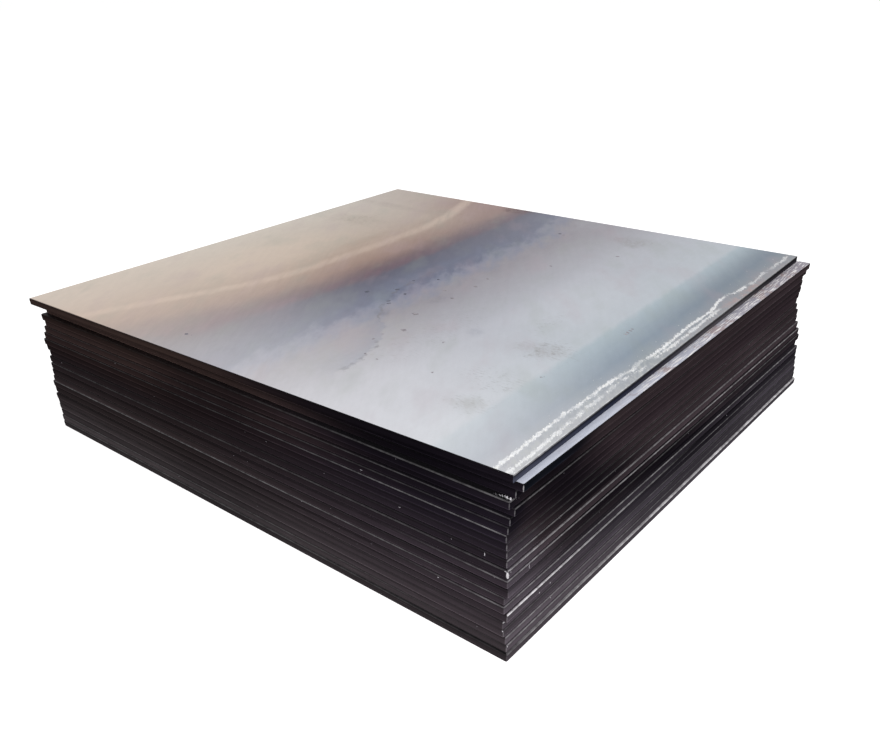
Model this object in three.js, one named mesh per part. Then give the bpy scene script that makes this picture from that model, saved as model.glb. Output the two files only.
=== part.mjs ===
// A stack of square hot-rolled steel plates, lying flat on one another as they were set down.
// Millimetres, +Z up. The origin is at the middle of the stack's footprint, on the floor.

import * as THREE from "three";

// ---- One plate ------------------------------------------------------------------------------

const PLATE_LENGTH = 1250; // along X
const PLATE_WIDTH = 1250; // along Y
const PLATE_THICKNESS = 14;

// The sheared edge, from the top face down: an arris rolled over by the blade, a straight sheared
// band, a torn face that slopes inwards, and the foot that broke away last.
const ROLLOVER_DROP = 1.4;
const ROLLOVER_INSET = 1;
const ROLLOVER_STEPS = 3;
const SHEARED_BAND = 4;
const TORN_INSET = 0.6;
const FOOT_HEIGHT = 0.8;
const FOOT_INSET = 1.2;

const CORNER_RADIUS = 2.5;
const CORNER_STEPS = 3;

// ---- The stack ------------------------------------------------------------------------------

const PLATE_COUNT = 22;
const PLATE_GAP = 0.3; // air left between two plates by scale and unevenness

// How each plate lies, from the floor up: how far its front corner stands in from the nominal
// corner along X and along Y (a negative value stands out), and its turn about that corner.
const LAY = [
  { inX: -12, inY: -9, turnDegrees: -0.35 },
  { inX: -9, inY: -6, turnDegrees: -0.25 },
  { inX: -9.5, inY: -4, turnDegrees: -0.35 },
  { inX: -11, inY: -1.5, turnDegrees: -0.4 },
  { inX: -12, inY: -0.5, turnDegrees: -0.45 },
  { inX: -9, inY: -6, turnDegrees: -0.1 },
  { inX: -11, inY: -1.5, turnDegrees: -0.35 },
  { inX: -8, inY: 0.5, turnDegrees: -0.15 },
  { inX: -6.5, inY: -5, turnDegrees: -0.1 },
  { inX: -4.5, inY: -2, turnDegrees: -0.1 },
  { inX: 0, inY: 0.5, turnDegrees: 0.05 },
  { inX: 3.5, inY: 5, turnDegrees: 0.1 },
  { inX: 6, inY: 7, turnDegrees: 0.05 },
  { inX: 5.5, inY: 7, turnDegrees: 0.2 },
  { inX: 4.5, inY: 7.5, turnDegrees: 0.3 },
  { inX: 6, inY: 6, turnDegrees: 0.25 },
  { inX: 8.5, inY: 4.5, turnDegrees: 0.25 },
  { inX: 15, inY: 1, turnDegrees: 0.45 },
  { inX: 6.5, inY: 5, turnDegrees: 0.2 },
  { inX: 18, inY: 2, turnDegrees: 0.2 },
  { inX: 19.5, inY: -9.5, turnDegrees: 0.5 },
  { inX: 10.5, inY: 2.5, turnDegrees: 1.3 },
];

// The eleventh plate took a knock on its front corner, which widened the corner at the top face.
const KNOCKED_PLATE = 11;
const KNOCK_RADIUS = 9;
const KNOCK_DEPTH = 6;

// ---- Materials ------------------------------------------------------------------------------

const TOP_PLATE_FINISH = { color: 0xc4c0bc, roughness: 0.45, metalness: 0.6 };
const PLATE_FINISH = { color: 0x3b3737, roughness: 0.6, metalness: 0.6 };

// ---- Plate geometry -------------------------------------------------------------------------

// The edge's section as steps from the bottom face to the top face. Each step gives its height and
// how far the outline is drawn in there.
function edgeSection() {
  const bandTop = PLATE_THICKNESS - ROLLOVER_DROP;
  const steps = [
    { height: 0, inset: FOOT_INSET },
    { height: FOOT_HEIGHT, inset: TORN_INSET },
    { height: bandTop - SHEARED_BAND, inset: 0 },
  ];
  for (let i = 0; i <= ROLLOVER_STEPS; i++) {
    const angle = (i / ROLLOVER_STEPS) * (Math.PI / 2);
    steps.push({
      height: bandTop + ROLLOVER_DROP * Math.sin(angle),
      inset: ROLLOVER_INSET * (1 - Math.cos(angle)),
    });
  }
  return steps;
}

// The plate's outline drawn in by an inset, counter-clockwise from the front corner at the origin.
// The front corner has a radius of its own, so that a knocked one can be wider than the rest.
function outline(inset, frontRadius) {
  const corners = [
    { x: inset, y: inset, start: Math.PI, radius: frontRadius },
    { x: PLATE_LENGTH - inset, y: inset, start: 1.5 * Math.PI, radius: CORNER_RADIUS },
    { x: PLATE_LENGTH - inset, y: PLATE_WIDTH - inset, start: 0, radius: CORNER_RADIUS },
    { x: inset, y: PLATE_WIDTH - inset, start: 0.5 * Math.PI, radius: CORNER_RADIUS },
  ];
  return corners.flatMap(({ x, y, start, radius }) => {
    const centreX = x + (x < PLATE_LENGTH / 2 ? radius : -radius);
    const centreY = y + (y < PLATE_WIDTH / 2 ? radius : -radius);
    return Array.from({ length: CORNER_STEPS + 1 }, (_, i) => {
      const angle = start + (i / CORNER_STEPS) * (Math.PI / 2);
      return new THREE.Vector2(
        centreX + radius * Math.cos(angle),
        centreY + radius * Math.sin(angle),
      );
    });
  });
}

// The front corner's radius at a height: the knock widens it evenly from its foot to the top face.
function frontRadiusAt(height, knocked) {
  const depth = PLATE_THICKNESS - KNOCK_DEPTH;
  const share = knocked ? Math.max(0, (height - depth) / KNOCK_DEPTH) : 0;
  return CORNER_RADIUS + share * (KNOCK_RADIUS - CORNER_RADIUS);
}

// A closed plate: one outline for each step of the section, skinned from foot to top and capped.
function plateGeometry(knocked) {
  const rings = edgeSection().map(({ height, inset }) => ({
    height,
    points: outline(inset, frontRadiusAt(height, knocked)),
  }));
  const around = rings[0].points.length;
  const positions = rings.flatMap(({ height, points }) =>
    points.flatMap(({ x, y }) => [x, y, height]),
  );

  const triangles = [];
  for (let ring = 0; ring < rings.length - 1; ring++) {
    for (let i = 0; i < around; i++) {
      const next = (i + 1) % around;
      const low = ring * around;
      const high = low + around;
      triangles.push(low + i, low + next, high + next);
      triangles.push(low + i, high + next, high + i);
    }
  }
  const topStart = (rings.length - 1) * around;
  for (const [a, b, c] of THREE.ShapeUtils.triangulateShape(rings[0].points, [])) {
    triangles.push(a, c, b);
  }
  for (const [a, b, c] of THREE.ShapeUtils.triangulateShape(rings.at(-1).points, [])) {
    triangles.push(topStart + a, topStart + b, topStart + c);
  }

  const geometry = new THREE.BufferGeometry();
  geometry.setAttribute("position", new THREE.Float32BufferAttribute(positions, 3));
  geometry.setIndex(triangles);
  geometry.computeVertexNormals();
  return geometry;
}

// ---- Assembly -------------------------------------------------------------------------------

// One plate in its place, counted from 1 at the floor.
function plate(number) {
  const finish = number === PLATE_COUNT ? TOP_PLATE_FINISH : PLATE_FINISH;
  const mesh = new THREE.Mesh(
    plateGeometry(number === KNOCKED_PLATE),
    new THREE.MeshStandardMaterial(finish),
  );
  mesh.name = `plate_${String(number).padStart(2, "0")}`;

  const { inX, inY, turnDegrees } = LAY[(number - 1) % LAY.length];
  mesh.position.set(inX, inY, (number - 1) * (PLATE_THICKNESS + PLATE_GAP));
  mesh.rotation.z = THREE.MathUtils.degToRad(turnDegrees);
  return mesh;
}

const stack = new THREE.Group();
for (let number = 1; number <= PLATE_COUNT; number++) {
  stack.add(plate(number));
}

// The origin goes to the middle of the footprint that all the plates cover together.
const middle = new THREE.Box3().setFromObject(stack, true).getCenter(new THREE.Vector3());
stack.position.set(-middle.x, -middle.y, 0);
stack.updateMatrixWorld(true);

export default stack;
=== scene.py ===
"""Looks for a stack of hot-rolled steel plates: mill scale, sheared edges, wear, stage, light and camera.

Places are in metres in the row frame: +X runs along the front-right edge of the stack, +Y along its
front-left edge, and the near corner is at -X -Y. Across a plate, a place is also given as a share of its
side, (0, 0) at the near corner. Colours are written as sRGB, 0 to 255, and small lengths in millimetres.
"""

import math

import bpy
import numpy as np
from mathutils import Matrix, Vector


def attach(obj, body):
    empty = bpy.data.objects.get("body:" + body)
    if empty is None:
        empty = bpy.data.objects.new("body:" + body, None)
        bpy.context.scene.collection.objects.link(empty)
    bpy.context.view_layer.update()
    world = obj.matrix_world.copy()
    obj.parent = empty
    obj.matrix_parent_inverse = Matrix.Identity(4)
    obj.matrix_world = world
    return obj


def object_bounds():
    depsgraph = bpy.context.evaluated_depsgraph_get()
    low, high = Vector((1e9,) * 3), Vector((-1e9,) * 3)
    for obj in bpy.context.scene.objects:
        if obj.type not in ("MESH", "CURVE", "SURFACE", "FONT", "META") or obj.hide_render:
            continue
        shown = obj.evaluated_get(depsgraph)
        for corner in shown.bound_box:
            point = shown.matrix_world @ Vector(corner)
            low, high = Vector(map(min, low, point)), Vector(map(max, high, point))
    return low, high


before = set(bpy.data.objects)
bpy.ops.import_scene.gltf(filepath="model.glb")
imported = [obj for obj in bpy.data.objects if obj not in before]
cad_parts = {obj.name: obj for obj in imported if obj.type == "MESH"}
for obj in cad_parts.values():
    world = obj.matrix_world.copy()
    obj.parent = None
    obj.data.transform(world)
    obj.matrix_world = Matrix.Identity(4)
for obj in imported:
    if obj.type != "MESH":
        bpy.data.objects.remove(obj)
cad_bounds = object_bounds()

MM = 0.001
NODES = sorted(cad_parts)  # plate_01 lies at the bottom
TOP_NODE = NODES[-1]
STACK_HEIGHT = cad_bounds[1][2]


# ---- fields ----


class Field:
    """A value that varies over a surface. Arithmetic on fields adds the Math nodes that work it out."""

    def __init__(self, socket):
        self.socket = socket

    def __add__(self, other):
        return calculate("ADD", self, other)

    def __radd__(self, other):
        return calculate("ADD", other, self)

    def __sub__(self, other):
        return calculate("SUBTRACT", self, other)

    def __rsub__(self, other):
        return calculate("SUBTRACT", other, self)

    def __mul__(self, other):
        return calculate("MULTIPLY", self, other)

    def __rmul__(self, other):
        return calculate("MULTIPLY", other, self)

    def __truediv__(self, other):
        return calculate("DIVIDE", self, other)

    def __abs__(self):
        return calculate("ABSOLUTE", self)

    def __pow__(self, other):
        return calculate("POWER", self, other)


def tree_of(*values):
    return next(v.socket.id_data for v in values if isinstance(v, Field))


def feed(socket, value):
    """Links a field to a socket, or sets a plain value on it."""
    if isinstance(value, Field):
        socket.id_data.links.new(value.socket, socket)
    else:
        socket.default_value = value


def add_node(tree, kind, inputs=(), **settings):
    made = tree.nodes.new(kind)
    for name, value in settings.items():
        setattr(made, name, value)
    for socket, value in zip(made.inputs, inputs):
        feed(socket, value)
    return made


def calculate(operation, *values):
    return Field(add_node(tree_of(*values), "ShaderNodeMath", values, operation=operation).outputs[0])


def smaller(a, b):
    return calculate("MINIMUM", a, b)


def larger(a, b):
    return calculate("MAXIMUM", a, b)


def ramp_up(value, start, end, low=0.0, high=1.0, interpolation="SMOOTHSTEP"):
    """Goes smoothly from low to high as value goes from start to end, and stays there."""
    inputs = (value, start, end, low, high)
    node = add_node(tree_of(*inputs), "ShaderNodeMapRange", inputs, interpolation_type=interpolation)
    return Field(node.outputs[0])


def slide(value, start, end, low, high):
    """Goes evenly from low to high as value goes from start to end, and stays there."""
    return ramp_up(value, start, end, low, high, "LINEAR")


def fade(value, start, end, strength=1.0):
    """Goes smoothly from its strength to 0 as value goes from start to end, and stays there."""
    return ramp_up(value, start, end, strength, 0.0)


def near(value, place, start, end, high=1.0, low=0.0):
    """High where value lies within start of a place, and low where it lies further than end from it."""
    return ramp_up(abs(value - place), start, end, high, low)


def blend(share, first, second):
    """The first colour, with this share of the second in it."""
    tree = tree_of(share, first, second)
    node = tree.nodes.new("ShaderNodeMix")
    node.data_type = "RGBA"
    feed(node.inputs["Factor"], share)
    sockets = [s for s in node.inputs if s.type == "RGBA"]
    feed(sockets[0], first)
    feed(sockets[1], second)
    return Field(next(s for s in node.outputs if s.type == "RGBA"))


def shade(colour, amount):
    """The colour, made lighter or darker by a factor."""
    node = add_node(tree_of(colour, amount), "ShaderNodeVectorMath", operation="SCALE")
    feed(node.inputs[0], colour)
    feed(node.inputs["Scale"], amount)
    return Field(node.outputs[0])


def mottle(point, lumps, detail, roughness):
    """Cloudy noise from 0 to 1 with this many lumps in a metre: one number, or one each for X, Y and Z."""
    if isinstance(lumps, tuple):
        squeezed = add_node(tree_of(point), "ShaderNodeVectorMath", (point, lumps), operation="MULTIPLY")
        point, lumps = Field(squeezed.outputs[0]), 1.0
    node = add_node(tree_of(point), "ShaderNodeTexNoise", noise_dimensions="3D")
    inputs = {"Vector": point, "Scale": lumps, "Detail": detail, "Roughness": roughness}
    for name, value in inputs.items():
        feed(node.inputs[name], value)
    return Field(node.outputs["Fac"])


def bands(value, stops):
    """The colour at value in a palette."""
    node = add_node(tree_of(value), "ShaderNodeValToRGB", [value])
    elements = node.color_ramp.elements
    while len(elements) < len(stops):
        elements.new(0.5)
    for element, (place, *colour) in zip(elements, stops):
        element.position = place
        element.color = srgb(*colour)
    return Field(node.outputs[0])


def curve(value, points, handles="AUTO"):
    """A curve through (value, result) points, each from 0 to 1: smooth, or straight from point to point."""
    node = add_node(tree_of(value), "ShaderNodeFloatCurve")
    feed(node.inputs["Value"], value)
    line = node.mapping.curves[0]
    while len(line.points) < len(points):
        line.points.new(0.5, 0.5)
    for point, place in zip(line.points, points):
        point.location = place
        point.handle_type = handles
    node.mapping.update()
    return Field(node.outputs[0])


def srgb(red, green, blue):
    """A colour from its sRGB numbers, 0 to 255, as the linear values that the shader takes."""
    def linear(part):
        part /= 255
        return part / 12.92 if part <= 0.04045 else ((part + 0.055) / 1.055) ** 2.4
    return (linear(red), linear(green), linear(blue), 1.0)


def level(path, place):
    """The plain value at a place on a path of straight runs through (place, value) points."""
    return float(np.interp(place, *zip(*path)))


def pick(stops, place):
    """The plain colour at a place in a palette."""
    places, *parts = zip(*((stop, *srgb(*colour)) for stop, *colour in stops))
    return tuple(level(zip(places, part), place) for part in parts)


# ---- where each plate lies ----

LARGEST_TURN = math.radians(3)  # no plate of the stack lies more out of line than this
TURNS_TRIED = 1201


def add_object(name, data):
    """A new object in the scene."""
    made = bpy.data.objects.new(name, data)
    bpy.context.scene.collection.objects.link(made)
    return made


def frame_at(origin, along, up, out):
    """A frame with its X along a surface, its Y up the surface and its Z out of it."""
    return Matrix.Translation(origin) @ Matrix((along, up, out)).transposed().to_4x4()


class Plate:
    """One plate as it lies: its near corner, its turn about Z and its sides, worked out from its mesh."""

    def __init__(self, name):
        self.name = name
        self.number = int(name.split("_")[1])
        self.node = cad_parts[name]
        points = np.array([v.co for v in self.node.data.vertices])
        turns = np.linspace(-LARGEST_TURN, LARGEST_TURN, TURNS_TRIED)
        self.turn = min(turns, key=lambda turn: np.ptp(self.turned(points, turn), axis=0)[:2].prod())
        lined_up = self.turned(points, self.turn)
        low = lined_up.min(axis=0)
        self.length, self.width, self.thickness = (float(side) for side in np.ptp(lined_up, axis=0))
        self.corner = Matrix.Rotation(self.turn, 3, "Z") @ Vector(low)
        self.placed = Matrix.Translation(self.corner) @ Matrix.Rotation(self.turn, 4, "Z")
        self.depth_share = 1 - (low[2] + self.thickness / 2) / STACK_HEIGHT

    @staticmethod
    def turned(points, turn):
        """The points as seen along the sides of a plate that lies at this turn."""
        along = points[:, 0] * math.cos(turn) + points[:, 1] * math.sin(turn)
        across = points[:, 1] * math.cos(turn) - points[:, 0] * math.sin(turn)
        return np.stack([along, across, points[:, 2]], axis=1)

    def top_seat(self, u, v):
        """A frame on the top face, at these shares of its sides."""
        origin = Vector((u * self.length, v * self.width, self.thickness))
        return self.placed @ frame_at(origin, (1, 0, 0), (0, 1, 0), (0, 0, 1))

    def side_seat(self, side, along, depth):
        """A frame on the left or the right cut side, at a share of it and a depth below the top face."""
        height = self.thickness - depth
        if side == "left":
            origin = Vector((0, along * self.width, height))
            return self.placed @ frame_at(origin, (0, -1, 0), (0, 0, 1), (-1, 0, 0))
        origin = Vector((along * self.length, 0, height))
        return self.placed @ frame_at(origin, (1, 0, 0), (0, 0, 1), (0, -1, 0))


class Spot:
    """The fields that say which spot of a plate is being shaded, measured from the plate itself."""

    def __init__(self, tree, plate):
        row = add_node(tree, "ShaderNodeTexCoord").outputs["Object"]
        local = add_node(tree, "ShaderNodeMapping", vector_type="TEXTURE")
        feed(local.inputs["Vector"], Field(row))
        feed(local.inputs["Location"], plate.corner)
        feed(local.inputs["Rotation"], (0, 0, plate.turn))
        self.point = Field(local.outputs[0])
        axes = add_node(tree, "ShaderNodeSeparateXYZ", [self.point])
        self.x, self.y, self.z = (Field(socket) for socket in axes.outputs)
        self.u = self.x / plate.length
        self.v = self.y / plate.width
        self.depth = plate.thickness - self.z
        across_x = smaller(self.x, plate.length - self.x)
        across_y = smaller(self.y, plate.width - self.y)
        self.inset = larger(smaller(across_x, across_y), 0.0)
        self.left_side = calculate("LESS_THAN", across_x, across_y)
        self.along = calculate("MULTIPLY_ADD", self.left_side, self.v - self.u, self.u)
        geometry = add_node(tree, "ShaderNodeNewGeometry")
        normal = add_node(tree, "ShaderNodeSeparateXYZ", [Field(geometry.outputs["True Normal"])])
        self.facing_up = Field(normal.outputs["Z"])


# ---- mill scale on the top plate ----

# Palettes are rows of (place, red, green, blue).
TINT_BANDS = (  # the tints of cooling across the top plate, from its front-right to its back-left edge, made lighter by painted reflection of a bright sky
    (0.00, 158, 161, 166),  # grey
    (0.05, 135, 147, 160),  # a bluish grey strip along the edge
    (0.11, 168, 180, 188),
    (0.12, 184, 190, 197),  # silver
    (0.27, 180, 182, 190),
    (0.43, 147, 143, 150),  # lavender grey
    (0.47, 132, 134, 150),
    (0.50, 105, 110, 130),  # slate blue, where the plate was hottest
    (0.58, 92, 92, 108),
    (0.60, 100, 88, 98),  # maroon
    (0.63, 122, 102, 102),
    (0.66, 150, 126, 116),
    (0.71, 170, 148, 134),  # tan
    (0.81, 188, 173, 160),  # beige
    (1.00, 206, 197, 186),
)
# How far the bands are bent up towards the plate's left and right end, as a share of BEND_REACH.
BEND_LEFT = ((0.0, 0.85), (0.12, 0.56), (0.22, 0.30), (0.32, 0.10), (0.45, 0.0), (1.0, 0.0))
BEND_RIGHT = ((0.0, 0.0), (0.7, 0.0), (0.8, 0.04), (0.92, 0.22), (1.0, 0.38))
BEND_REACH = 0.15  # share of the width that a bend of 1 stands for
BENT_LEFT = (0.48, 0.8)  # between these shares of the width the left bend sets in
BENT_RIGHT = (0.66, 0.78)
RIGHT_END = (0.8, 1.0)  # share of the length over which the bands drop and redden
RIGHT_DROP = 0.042
# Lines along the plate, as shares of its width: the middle of what each is named for.
FLAME_LINE = 0.45
SCALLOP_LINE = 0.48
HOT_LINE = 0.5
MAROON_LINE = 0.605
CREAM_LINE = 0.722
CREAM = srgb(211, 192, 178)
MAROON = srgb(112, 86, 98)
RUSSET = srgb(146, 104, 98)
GREENISH = srgb(150, 158, 148)
PINKISH = srgb(172, 152, 160)
# The next two colours are painted reflection that pales the top plate towards its left end.
COOL_PAINTED_SHEEN = srgb(227, 225, 228)
WARM_PAINTED_SHEEN = srgb(224, 210, 198)
# A grey of painted shade that dims the top plate towards its right end.
PAINTED_SHADE_GREY = srgb(160, 158, 164)
SLANT = math.radians(32)  # the way that the flames of colour and the brushed look run across the plate
TIDE = (
    (0.0, 0.32), (0.09, 0.349), (0.165, 0.362), (0.25, 0.404),
    (0.3, 0.455), (0.39, 0.5), (0.49, 0.514), (1.0, 0.47),
)
TIDE_MARK = srgb(112, 110, 113)
TIDE_BLUE = srgb(128, 136, 154)
SMUDGES = (  # (u, v, radius along u, radius along v, strength, colour)
    (0.115, 0.145, 0.022, 0.03, 0.28, srgb(150, 146, 142)),
    (0.322, 0.155, 0.026, 0.045, 0.42, srgb(146, 143, 141)),
    (0.905, 0.30, 0.035, 0.05, 0.35, srgb(138, 134, 132)),
    (0.32, 0.278, 0.018, 0.015, 0.40, srgb(150, 152, 164)),
    (0.305, 0.450, 0.02, 0.02, 0.40, srgb(108, 106, 114)),
    (0.41, 0.415, 0.03, 0.014, 0.35, srgb(124, 120, 132)),
    (0.20, 0.40, 0.16, 0.07, 0.25, srgb(160, 158, 152)),
    (0.72, 0.88, 0.045, 0.08, 0.40, srgb(164, 152, 141)),
    (0.86, 0.90, 0.02, 0.13, 0.35, srgb(160, 148, 142)),
    (0.60, 0.76, 0.10, 0.015, 0.30, srgb(158, 140, 126)),
    (0.985, 0.625, 0.03, 0.04, 0.8, srgb(102, 82, 84)),
)
WASHES = (  # wide, even patches, listed in the same way
    (0.42, 0.84, 0.20, 0.09, 0.3, srgb(216, 197, 181)),
    (0.11, 0.65, 0.09, 0.05, 0.25, srgb(150, 132, 138)),
    (0.52, 0.21, 0.18, 0.08, 0.25, srgb(204, 208, 214)),
)
SCUFFED = (  # patches with fine scratches: (u, v, radius along u, radius along v, strength)
    (0.195, 0.165, 0.035, 0.05, 0.35),
    (0.325, 0.15, 0.045, 0.05, 0.45),
    (0.115, 0.145, 0.03, 0.04, 0.3),
    (0.42, 0.205, 0.06, 0.02, 0.3),
    (0.30, 0.33, 0.16, 0.05, 0.18),
    (0.72, 0.88, 0.06, 0.08, 0.25),
    (0.905, 0.30, 0.05, 0.07, 0.2),
)
SCUFF = srgb(112, 106, 104)
PATCH_RIM = (0.25, 1.3)  # where a patch begins and ends to fade, as a share of its radius


def slanted(point, along, across, detail, roughness):
    """Noise that is drawn out at a slant, with this many lumps in a metre along SLANT and across it."""
    node = add_node(tree_of(point), "ShaderNodeMapping", vector_type="TEXTURE")
    feed(node.inputs["Vector"], point)
    feed(node.inputs["Rotation"], (0, 0, SLANT))
    feed(node.inputs["Scale"], (1 / along, 1 / across, 1))
    return mottle(Field(node.outputs[0]), 1.0, detail, roughness)


def patch(at, ragged, u, v, radius_u, radius_v):
    """A soft patch with an uneven outline: 1 in its middle, 0 outside."""
    across = (at.u - u) / radius_u
    up = (at.v - v) / radius_v
    away = (across * across + up * up) ** 0.5
    return fade(away + ragged, *PATCH_RIM)


def heat_tint(at):
    """The bands of colour that cooling left on the top plate, bent up towards its left and right ends, with
    painted reflection that pales them towards the left end and painted shade towards the right.
    """
    bend_left = curve(at.u, BEND_LEFT) * BEND_REACH
    bend_right = curve(at.u, BEND_RIGHT) * BEND_REACH
    wave = mottle(at.point, (5, 10, 5), 4.0, 0.55) - 0.5
    flames = slanted(at.point, 7, 45, 3.0, 0.5) - 0.5
    scallops = slanted(at.point, 16, 36, 4.0, 0.55) - 0.5
    ripple = mottle(at.point, (30, 60, 1), 3.0, 0.55) - 0.5
    shift = wave * ramp_up(at.v, 0.15, 0.4, 0.004, 0.03) + ripple * 0.006
    shift = shift + flames * near(at.v, FLAME_LINE, 0.02, 0.16, 0.05, 0.01)
    shift = shift + scallops * near(at.v, SCALLOP_LINE, 0.03, 0.08, 0.1)
    right_end = ramp_up(at.u, *RIGHT_END)
    shift = shift - right_end * near(at.v, HOT_LINE, 0.05, 0.12, RIGHT_DROP)
    bent = at.v - bend_left * ramp_up(at.v, *BENT_LEFT) - bend_right * ramp_up(at.v, *BENT_RIGHT) + shift
    colour = bands(bent, TINT_BANDS)
    fringe = near(bent, MAROON_LINE, 0.004, 0.022, 0.45) * ramp_up(flames, -0.1, 0.1, 0.3, 1.0)
    colour = blend(fringe, colour, MAROON)
    reddened = ramp_up(at.v, 0.6, 0.68) * ramp_up(at.v, 0.76, 0.9, 0.4, 0.12)
    colour = blend(right_end * reddened, colour, RUSSET)
    # Painted reflection: the bands grow paler towards the left end.
    warm = ramp_up(at.v, 0.45, 0.8)
    sheen_reach = slide(warm, 0, 1, 0.42, 0.62)
    colour = blend(fade(at.u, -0.05, sheen_reach, 0.45), colour, blend(warm, COOL_PAINTED_SHEEN, WARM_PAINTED_SHEEN))
    # Painted shade: the bands grow greyer and darker towards the right end.
    painted_dimming = ramp_up(at.u, 0.45, 1.0, 0.0, 0.22) * ramp_up(at.v, 0.15, 0.35)
    colour = blend(painted_dimming, colour, PAINTED_SHADE_GREY)
    colour = shade(colour, 1 - ramp_up(at.u, 0.4, 0.75, 0.0, 0.16) * fade(at.v, 0.06, 0.11))
    from_line = abs(at.v - bend_left - bend_right - CREAM_LINE + wave * 0.008 + ripple * 0.01)
    faded = near(at.u, 0.55, 0.1, 0.4, 0.6, 1.0) * ramp_up(flames, -0.15, 0.05, 0.7, 1.0)
    return blend(fade(from_line, 0.003, 0.022, 0.55) * faded, colour, CREAM)


def tide_line(at, colour):
    """A dried water mark that crosses the plate: a faint change of tone with a broken dark outline."""
    ragged = (mottle(at.point, 34.0, 4.0, 0.65) - 0.5) * 0.045
    above = at.v - curve(at.u, TIDE) + ragged
    reach = fade(at.u, 0.42, 0.6) * ramp_up(at.u, 0.05, 0.14)
    wet = ramp_up(above, -0.003, 0.003) * fade(above, 0.0, 0.06, 0.28) * reach
    colour = blend(wet, colour, TIDE_BLUE)
    broken = ramp_up(mottle(at.point, 40.0, 2.0, 0.5), 0.42, 0.6)
    outline = fade(abs(above), 0.001, 0.006) * broken * reach
    return blend(outline * 0.42, colour, TIDE_MARK)


# The two strands of white scale dust along the top plate's front-right edge: where each runs, as a share
# of its length and its width, and how much of the steel its clumps hide there.
INNER_STRAND = (
    (0, 0.025, 1), (0.05, 0.0262, 1), (0.09, 0.0278, 1), (0.125, 0.0282, 1),
    (0.144, 0.0282, 0.8), (0.149, 0.0285, 0.1), (0.154, 0.0288, 0.8), (0.166, 0.0306, 0.9),
    (0.178, 0.0288, 0.7), (0.183, 0.0275, 0.1), (0.189, 0.0268, 0.8), (0.205, 0.0272, 1),
    (0.221, 0.0276, 0.9), (0.228, 0.0275, 0.2), (0.237, 0.0272, 0.8), (0.25, 0.0285, 1),
    (0.275, 0.0268, 1), (0.295, 0.0262, 1), (0.302, 0.0238, 0.3), (0.312, 0.024, 0.6),
    (0.323, 0.0225, 0.4), (0.331, 0.0203, 1), (0.34, 0.0206, 0.6), (0.348, 0.0218, 0.3),
    (0.365, 0.0232, 0.45), (0.386, 0.0215, 0.45), (0.394, 0.0195, 1), (0.445, 0.0185, 1),
    (0.46, 0.0203, 0.9), (0.5, 0.0212, 0.9), (0.53, 0.0232, 1), (0.61, 0.0205, 1),
    (0.638, 0.0218, 1), (0.662, 0.027, 1), (0.69, 0.0285, 1), (0.702, 0.0278, 0.4),
    (0.716, 0.0262, 0.3), (0.724, 0.0208, 0.6), (0.735, 0.0206, 0.9), (0.746, 0.018, 0.8),
    (0.762, 0.0186, 1), (0.778, 0.02, 0), (0.79, 0.015, 0.5), (0.81, 0.015, 0.5),
    (0.862, 0.0185, 0.5), (0.872, 0.0185, 0), (0.905, 0.015, 0.4), (0.932, 0.0172, 0.5),
    (0.945, 0.0135, 0.6), (0.985, 0.016, 0.5), (1, 0.016, 0.3),
)
OUTER_STRAND = (
    (0, 0.0085, 1), (0.06, 0.0092, 0.9), (0.09, 0.01, 0.8), (0.12, 0.0112, 0.8),
    (0.145, 0.0128, 0.7), (0.153, 0.0125, 0.1), (0.162, 0.0118, 0.4), (0.175, 0.013, 0.8),
    (0.187, 0.0136, 0.1), (0.197, 0.0142, 0.6), (0.235, 0.015, 0.5), (0.243, 0.015, 0),
    (0.255, 0.016, 0.35), (0.283, 0.0165, 0.35), (0.293, 0.015, 0), (0.303, 0.0142, 0.8),
    (0.313, 0.0152, 0.8), (0.322, 0.014, 0), (0.336, 0.01, 0.4), (0.35, 0.0104, 0.7),
    (0.362, 0.0105, 0), (0.385, 0.0115, 0), (0.398, 0.0125, 0.7), (0.45, 0.0115, 0.8),
    (0.5, 0.011, 0.7), (0.56, 0.012, 0.8), (0.6, 0.0125, 0.7), (0.63, 0.013, 0.6),
    (0.645, 0.013, 0), (1, 0.013, 0),
)
STRAND_HALF_WIDTH = 3.7 * MM
STRAND_REACH = 0.05  # no strand lies further in than this share of the width
STRAND_RAGGED = 4.5  # how far its outline strays, in half widths, in fine tongues and in clumps
STRAND_CLUMPED = 5.0
DUST = srgb(190, 192, 190)
DUST_FAR = srgb(166, 161, 163)
DUST_SHADE = srgb(150, 155, 155)
STRAND_WHITE = srgb(232, 233, 235)
RUSTY = srgb(182, 148, 144)
RUST_PLACE = 0.72  # share of the length at which the edge is rusty
RIM_GRIME = srgb(112, 94, 84)


def along_strand(strand, u):
    """Where a strand runs and how much it hides, at this share of the plate's length."""
    us, vs, covers = zip(*strand)
    return float(np.interp(u, us, vs)), float(np.interp(u, us, covers))


def path_of(value, points):
    """A path of straight runs through (value, result) points."""
    (start, first), (end, second) = points[:2]
    path = slide(value, start, end, first, second)
    for (start, first), (end, second) in zip(points[1:], points[2:]):
        path = path + slide(value, start, end, 0, second - first)
    return path


def dust_strands(at, plate):
    """How much of each spot the strands of dust hide, from the crumbs in them that are too fine to model."""
    ragged = slanted(at.point, 60, 170, 4.0, 0.65) - 0.5
    clumped = slanted(at.point, 36, 60, 3.0, 0.6) - 0.5
    speck = slanted(at.point, 150, 330, 3.0, 0.7)
    covers = []
    for strand in (INNER_STRAND, OUTER_STRAND):
        middle = curve(at.u, [(u, v / STRAND_REACH) for u, v, cover in strand], "VECTOR") * STRAND_REACH
        cover = curve(at.u, [(u, cover) for u, v, cover in strand], "VECTOR")
        away = abs(at.v - middle) * (plate.width / STRAND_HALF_WIDTH)
        away = away + ragged * STRAND_RAGGED + clumped * STRAND_CLUMPED * (1.6 - cover)
        covers.append(fade(away, 0.45, 1.3) * cover)
    return larger(*covers) * ramp_up(speck, 0.36, 0.56, 0.45, 1.0)


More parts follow.
